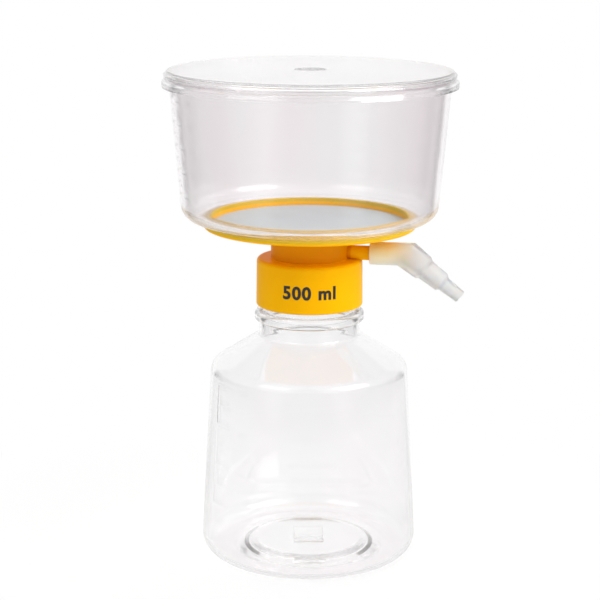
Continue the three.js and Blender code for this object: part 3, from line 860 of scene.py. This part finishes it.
def makeBowl():
    b = bowl
    foot, rim = footOf("funnel_bowl"), topOf("funnel_bowl")
    floorTop = b["seat"] + b["floor"]
    cornerFoot = floorTop + b["floorRise"]
    sunk = b["weldSunk"]  # the foot is welded onto the yellow flange
    weld, skirt, seat = base["flangeTop"] - sunk, base["rim"] - sunk, b["seat"] - sunk
    points = outline([
        (skirt, weld),
        (base["deck"] + b["weldReach"], weld),
        (b["toe"], foot, 0.2),
        (b["foot"], bowlCorner(), b["corner"]),
        (b["rim"], rim, 0.5),
        (b["rim"] - b["wall"], rim, 0.5),
        (bowlSide(cornerFoot) - b["wall"], cornerFoot, b["innerCorner"]),
        (b["slopeFoot"], floorTop, 3.0),
        (b["recess"], floorTop, 0.2),
        (b["recess"], seat),
        (skirt, seat),
    ])
    piece = turned("bowl_shell", points, clearBowl)
    volumes = [b["volumeFoot"] + i * b["volumeStep"] for i in range(len(b["markHeights"]))]
    addScale(piece, b, b["markHeights"], volumes, bowlSide, clearBowl)
    smooth(piece, clearBowl)
    settle(piece, "funnel_bowl", "head")


makeBowl()


lid = {
    "thickness": 1.5, "face": 59.9, "shoulder": 61.6, "shoulderDrop": 1.6, "waist": 61.3,
    "skirtInner": 60.3, "lip": 62.4, "lipHeight": 2.3, "lipRise": 0.8, "wall": 1.0,
    "dimple": 6.3, "dimpleDepth": 0.8, "dimpleSlope": 0.4, "innerRound": 1.3,
    "ribCount": 6, "ribWidth": 1.2, "ribAzimuth": -88.5, "ribInner": 60.05, "ribSunk": 0.4,
}


def makeLid():
    d = lid
    top, foot = topOf("lid"), footOf("lid")
    under, lipTop = top - d["thickness"], foot + d["lipHeight"]
    points = outline([
        (0, top - d["dimpleDepth"]),
        (d["dimple"], top - d["dimpleDepth"], 0.3),
        (d["dimple"] + d["dimpleSlope"], top, 0.3),
        (d["face"], top, 0.5),
        (d["shoulder"], top - d["shoulderDrop"], 0.6),
        (d["waist"], lipTop + d["lipRise"], 0.4),
        (d["lip"], lipTop, 0.3),
        (d["lip"], foot, 0.2),
        (d["lip"] - d["wall"], foot, 0.2),
        (d["skirtInner"], lipTop, 0.3),
        (d["skirtInner"], under, d["innerRound"]),
        (d["dimple"] + d["wall"], under, 0.3),
        (d["dimple"], under - d["dimpleDepth"], 0.3),
        (0, under - d["dimpleDepth"]),
    ], closed=False)
    piece = turned("lid_cover", points, clearLid)
    ribs = ribRing("ribs", d["ribCount"], d["ribInner"], d["skirtInner"] + d["ribSunk"],
                   d["ribWidth"], lipTop, under + d["ribSunk"], d["ribAzimuth"], clearLid)
    combine(piece, ribs)
    smooth(piece, clearLid)
    settle(piece, "lid", "lid")


makeLid()


# each hose step is (start, end, radius at its start, radius at its end) along the arm
adapter = {
    "sides": 96, "start": 26.1, "radius": 4.9, "elbow": 41.7, "elbowRoom": 3.8, "drop": 37.3,
    "socket": 3.4, "socketEnd": 36.6, "socketSlope": 0.8, "bore": 1.9, "tipDepth": 6,
    "elbowBore": 2.5, "mitreEdge": 0.12, "round": 0.45,
    "steps": ((0.0, 9.05, 4.9, 5.6), (10.4, 18.9, 4.65, 4.25), (20.4, 29.2, 3.15, 2.75)),
}


def turnsOf(sides):
    return [2 * math.pi * i / sides for i in range(sides)]


def sleeveRing(reach, radius):
    turns = turnsOf(adapter["sides"])
    return [Vector((reach, radius * math.cos(a), radius * math.sin(a))) for a in turns]


def armRing(distance, width, height):
    drop = math.radians(adapter["drop"])
    centre = Vector((adapter["elbow"] + distance * math.cos(drop), 0, -distance * math.sin(drop)))
    up = Vector((math.sin(drop), 0, math.cos(drop)))
    side = Vector((0, 1, 0))
    turns = turnsOf(adapter["sides"])
    return [centre + side * width * math.cos(a) + up * height * math.sin(a) for a in turns]


def adapterRings():
    # rings from the sleeve's mouth over the arm to its tip, and back through the passage
    a = adapter
    tall = 1 / math.cos(math.radians(a["drop"]))
    soft = a["round"]
    skin = outline([(a["start"], a["socket"]), (a["start"], a["radius"], soft),
                    (a["elbow"] - a["elbowRoom"], a["radius"])], closed=False)
    rings = [sleeveRing(p.x, p.y) for p in skin]
    first = a["steps"][0]
    for distance in (0.0, a["mitreEdge"], first[1] / 2):  # the tall mitre section turns round
        share = distance / first[1]
        width = first[2] + (first[3] - first[2]) * share
        high = first[2] * tall + (first[3] - first[2] * tall) * share
        rings.append(armRing(distance, width, high))
    corners = [(first[1] / 2, (first[2] + first[3]) / 2)]
    for low, high, startRadius, endRadius in a["steps"]:
        if low:
            corners.append((low, startRadius, soft / 2))
        corners.append((high, endRadius, soft))
    tip = a["steps"][-1][1]
    corners += [(tip, a["bore"], 0.2), (tip - a["tipDepth"], a["bore"])]
    for p in outline(corners, closed=False)[1:]:
        share = min(1.0, max(0.0, p.x / first[1]))
        high = p.y + (first[2] * tall - first[2]) * (1 - share) if p.x < first[1] else p.y
        rings.append(armRing(p.x, p.y, high))
    rings.append(armRing(0.0, a["elbowBore"], a["elbowBore"] * tall))
    rings.append(sleeveRing(a["socketEnd"] + a["socketSlope"], a["elbowBore"]))
    rings.append(sleeveRing(a["socketEnd"], a["socket"]))
    return rings


def makeAdapter():
    rings = adapterRings()
    sides = adapter["sides"]
    points = [p * mm for ring in rings for p in ring]
    faces = []
    for k in range(len(rings)):
        on = (k + 1) % len(rings)
        for i in range(sides):
            j = (i + 1) % sides
            faces.append((k * sides + i, k * sides + j, on * sides + j, on * sides + i))
    piece = newPiece("hose_elbow", points, [], faces)
    piece.data.transform(portPlace())
    closeUp(piece)
    smooth(piece, milky, angle=40)
    settle(piece, "hose_adapter", "adapter")


makeAdapter()


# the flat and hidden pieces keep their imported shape
packed = {"membrane": filterSheet, "neck_gasket": softGasket, "port_plug": fibre}
for node, material in packed.items():
    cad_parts[node].data.materials.clear()
    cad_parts[node].data.materials.append(material)
print("packed pieces finished")


# windows are (azimuth from the camera, rise); lamps are (right, towards the camera, up), (width,
# height) and watts
studio = {
    "floorRadius": 0.9, "floorSides": 96, "floorGrey": 0.93, "floorRoughness": 0.7,
    "floorGloss": 0.1, "keep": 0.72, "fadeFrom": 0.06, "fadeTo": 0.2,
    "table": 0.85, "tableEdge": 0.42, "tableSoft": 0.1,
    "ambient": 0.6, "room": 0.45, "sides": 0.24, "sidesTo": 112.0, "sidesSoft": 0.12,
    "backdrop": 1.0, "backdropRise": 12.0, "backdropHalf": 42.0, "backdropSoft": 0.05,
    "aloft": 0.72, "aloftFrom": 5.0, "aloftTo": 13.0,
    "window": 0.45, "windowHalf": 24.0, "windows": ((36, 20), (36, 52), (-40, 20), (-40, 52)),
    "lamps": {
        "keyBox": ((0.75, 0.45, 0.7), (0.7, 0.6), 7.5),
        "fillBox": ((-0.6, 0.5, 0.75), (0.6, 0.5), 1.6),
        "topBox": ((0.0, -0.25, 1.1), (0.9, 0.6), 2.0),
    },
    "cameraDistance": 0.742, "cameraAim": 0.112, "cameraAzimuth": -101.5, "pitch": 13.5,
    "lens": 103.0, "sensor": 36.0, "roll": 0.26, "shift": -0.0157, "bounces": 48,
}


def direction(azimuth, rise):
    azimuth, rise = math.radians(azimuth), math.radians(rise)
    return (math.cos(azimuth) * math.cos(rise), math.sin(azimuth) * math.cos(rise), math.sin(rise))


def firstSights(tree):
    # 1 for a ray that has met no matte surface, and 1 for one that has been mirrored on its way
    path = addNode(tree, "ShaderNodeLightPath")
    direct = maths(tree, "LESS_THAN", path.outputs["Diffuse Depth"], 0.5)
    mirrored = maths(tree, "GREATER_THAN", path.outputs["Glossy Depth"], 0.5)
    kinds = maths(tree, "MAXIMUM", path.outputs["Is Camera Ray"], path.outputs["Is Glossy Ray"])
    kinds = maths(tree, "MAXIMUM", kinds, path.outputs["Is Transmission Ray"])
    return maths(tree, "MULTIPLY", direct, kinds), mirrored


def nearness(tree, unit, azimuth, rise):
    # the cosine between a unit vector and a direction, counted from the camera's own
    target = direction(studio["cameraAzimuth"] + azimuth, rise)
    return vectorMaths(tree, "DOT_PRODUCT", unit, target)


def roomStrength(tree, way, mirrored):
    # plain white straight ahead; in reflections a white backdrop behind, a dimmer room round it
    # that is brighter aloft, and tall soft boxes beside the camera
    s = studio
    unit = vectorMaths(tree, "NORMALIZE", way)
    near = nearness(tree, unit, 180, s["backdropRise"])
    edge = math.cos(math.radians(s["backdropHalf"]))
    behind = math.cos(math.radians(s["sidesTo"]))
    room = maths(tree, "MAXIMUM",
                 ranged(tree, near, s["sides"], s["backdrop"],
                        edge - s["backdropSoft"], edge + s["backdropSoft"]),
                 ranged(tree, near, s["room"], s["sides"],
                        behind - s["sidesSoft"], behind + s["sidesSoft"]))
    low, high = math.radians(s["aloftFrom"]), math.radians(s["aloftTo"])
    upper = ranged(tree, heightOf(tree, unit), 0, s["aloft"], math.sin(low), math.sin(high))
    room = maths(tree, "MAXIMUM", room, upper)
    rim = math.cos(math.radians(s["windowHalf"]))
    for azimuth, rise in s["windows"]:
        close = nearness(tree, unit, azimuth, rise)
        room = maths(tree, "ADD", room, ranged(tree, close, 0, s["window"], rim, (1 + rim) / 2))
    dimming = maths(tree, "MULTIPLY", mirrored, maths(tree, "SUBTRACT", 1.0, room))
    return maths(tree, "SUBTRACT", 1.0, dimming)


def makeFloor():
    # a pale floor that turns plain white away from the object, and keeps a soft shadow
    s = studio
    corners = [(s["floorRadius"] * math.cos(a), s["floorRadius"] * math.sin(a), 0)
               for a in turnsOf(s["floorSides"])]
    floor = newPiece("floor", corners, [], [tuple(range(s["floorSides"]))])
    material, tree, shader, coords = newMaterial("paleFloor")
    grey = s["floorGrey"]
    feed(tree, shader, {"Base Color": (grey, grey, grey, 1), "Roughness": s["floorRoughness"],
                        "Specular IOR Level": s["floorGloss"]})
    seen, mirrored = firstSights(tree)
    distance = vectorMaths(tree, "LENGTH", coords)
    away = addNode(tree, "ShaderNodeMapRange", {
        "Value": distance, "From Min": s["fadeFrom"], "From Max": s["fadeTo"],
        "To Min": s["keep"], "To Max": 1.0}, interpolation_type="SMOOTHSTEP").outputs[0]
    table = ranged(tree, distance, s["table"], 0,
                   s["tableEdge"] - s["tableSoft"], s["tableEdge"] + s["tableSoft"])
    dimming = maths(tree, "MULTIPLY", mirrored, maths(tree, "SUBTRACT", 1.0, table))
    near = maths(tree, "SUBTRACT", 1.0, dimming)
    room = roomStrength(tree, coords, mirrored)
    white = addNode(tree, "ShaderNodeEmission", {
        "Color": (1, 1, 1, 1), "Strength": maths(tree, "MAXIMUM", near, room)})
    mix = addNode(tree, "ShaderNodeMixShader", {
        0: maths(tree, "MULTIPLY", seen, away), 1: shader.outputs[0], 2: white.outputs[0]})
    feed(tree, tree.nodes["Material Output"], {"Surface": mix.outputs[0]})
    floor.data.materials.append(material)


def makeWorld():
    world = bpy.data.worlds.new("studio")
    scene.world = world
    world.use_nodes = True
    tree = world.node_tree
    seen, mirrored = firstSights(tree)
    way = addNode(tree, "ShaderNodeTexCoord").outputs["Generated"]
    bright = maths(tree, "MULTIPLY", seen, roomStrength(tree, way, mirrored))
    plain = maths(tree, "MULTIPLY", maths(tree, "SUBTRACT", 1.0, seen), studio["ambient"])
    feed(tree, tree.nodes["Background"], {
        "Color": (1, 1, 1, 1), "Strength": maths(tree, "ADD", bright, plain)})


def addLamp(name, place, size, power):
    right, forward, up = place
    angle = math.radians(studio["cameraAzimuth"])
    towards = Vector((math.cos(angle), math.sin(angle), 0))
    across = Vector((-towards.y, towards.x, 0))
    light = bpy.data.lights.new(name, "AREA")
    light.shape = "RECTANGLE"
    light.size, light.size_y = size
    light.energy = power
    lamp = addObject(name, light)
    lamp.location = tuple(towards * forward + across * right + Vector((0, 0, up)))
    aim = Vector((0, 0, studio["cameraAim"])) - lamp.location
    lamp.rotation_euler = aim.to_track_quat("-Z", "Y").to_euler()
    lamp.visible_glossy = False


def makeLight():
    for name, (place, size, power) in studio["lamps"].items():
        addLamp(name, place, size, power)


def makeCamera():
    s = studio
    data = bpy.data.cameras.new("view")
    data.lens = s["lens"]
    data.sensor_width = s["sensor"]
    data.shift_x = s["shift"]
    camera = addObject("view", data)
    towards = Vector(direction(s["cameraAzimuth"], s["pitch"]))
    camera.location = Vector((0, 0, s["cameraAim"])) + towards * s["cameraDistance"]
    look = (-towards).to_track_quat("-Z", "Y").to_matrix().to_4x4()
    roll = Matrix.Rotation(math.radians(s["roll"]), 4, "Z")
    camera.rotation_euler = (look @ roll).to_euler()
    scene.camera = camera


makeFloor()
makeWorld()
makeLight()
makeCamera()
scene.view_settings.view_transform = "Standard"
for kind in ("max_bounces", "transmission_bounces", "glossy_bounces"):
    setattr(scene.cycles, kind, studio["bounces"])  # light passes many clear walls
print("studio ready")
